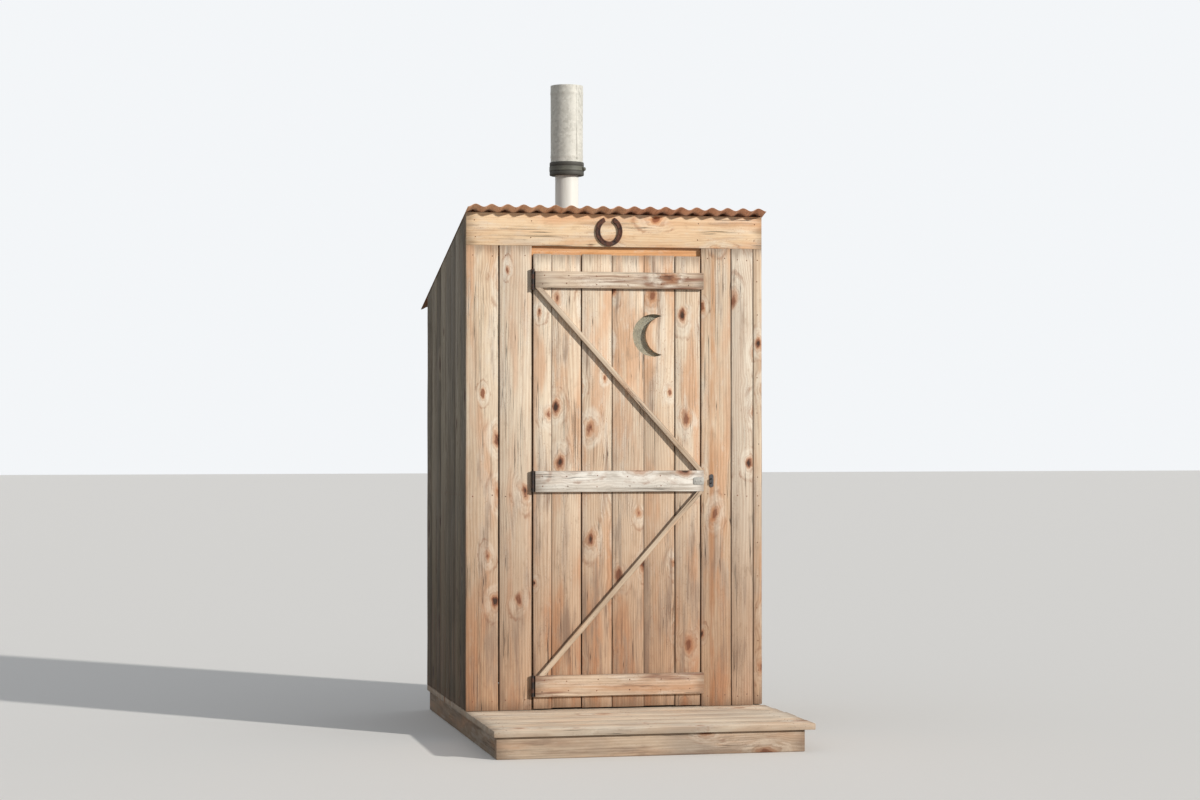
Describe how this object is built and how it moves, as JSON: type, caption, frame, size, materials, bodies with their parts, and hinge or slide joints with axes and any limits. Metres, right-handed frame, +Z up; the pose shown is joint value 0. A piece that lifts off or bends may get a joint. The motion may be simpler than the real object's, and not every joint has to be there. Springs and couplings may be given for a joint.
{
  "type": "outhouse",
  "caption": "Hollow wooden outhouse with a ledged plank door on butt hinges, crescent cut-out, single-slope corrugated roof, front step and roof vent pipe.",
  "frame": {"origin": "underside of the middle skid, at the centre of the walls' footprint, at ground level", "axes": "+Z up; -Y is the door side; +X to the right as seen by someone facing the door"},
  "size_m": [1.3111, 2.0386, 2.87],
  "materials": {
    "base_wood": "weathered",
    "deck_wood": "weathered",
    "frame_wood": "sawn",
    "fresh_wood": "sawn",
    "wall_wood": "weathered",
    "front_wood": "weathered",
    "door_wood": "weathered",
    "batten_wood": "weathered",
    "rusty_sheet": "rusty steel sheet",
    "white_pipe": "matt",
    "black_rubber": "matt",
    "band_steel": "dull",
    "galvanised": "galvanised",
    "old_iron": "rusty",
    "hinge_iron": "rusty",
    "latch_steel": "galvanised",
    "screen_mesh": "fine wire screen"
  },
  "bodies": {
    "house": {"skid_left": "base_wood", "skid_middle": "base_wood", "skid_right": "base_wood", "rim_board": "base_wood", "cross_joist": "base_wood", "deck": "deck_wood", "post_front_left": "frame_wood", "post_front_right": "frame_wood", "post_back_left": "frame_wood", "post_back_right": "frame_wood", "door_post_left": "frame_wood", "door_post_right": "frame_wood", "head_beam": "fresh_wood", "back_plate": "frame_wood", "top_rail_left": "frame_wood", "top_rail_right": "frame_wood", "mid_rail_left": "frame_wood", "mid_rail_right": "frame_wood", "wall_left": "wall_wood", "wall_right": "wall_wood", "wall_back": "wall_wood", "front_wall_left": "front_wood", "front_wall_right": "front_wood", "header_board": "front_wood", "roof_sheet_left": "rusty_sheet", "roof_sheet_right": "rusty_sheet", "vent_pipe": "white_pipe", "vent_coupling": "black_rubber", "coupling_band": "band_steel", "vent_sleeve": "galvanised", "horseshoe": "old_iron", "latch_keeper": "old_iron", "hinge_top_fixed": "hinge_iron", "hinge_middle_fixed": "hinge_iron", "hinge_bottom_fixed": "hinge_iron"},
    "door": {"door_leaf": "door_wood", "batten_top": "batten_wood", "batten_middle": "batten_wood", "batten_bottom": "batten_wood", "brace_upper": "batten_wood", "brace_lower": "batten_wood", "moon_screen": "screen_mesh", "latch_strap": "latch_steel", "hinge_top_door": "hinge_iron", "hinge_middle_door": "hinge_iron", "hinge_bottom_door": "hinge_iron"}
  },
  "joints": [
    {"name": "door_hinge", "type": "hinge", "parent": "house", "child": "door", "pos_m": [-0.3585, -0.5825, 1.0735], "axis": [0, 0, -1], "range_deg": [0, 150]}
  ]
}
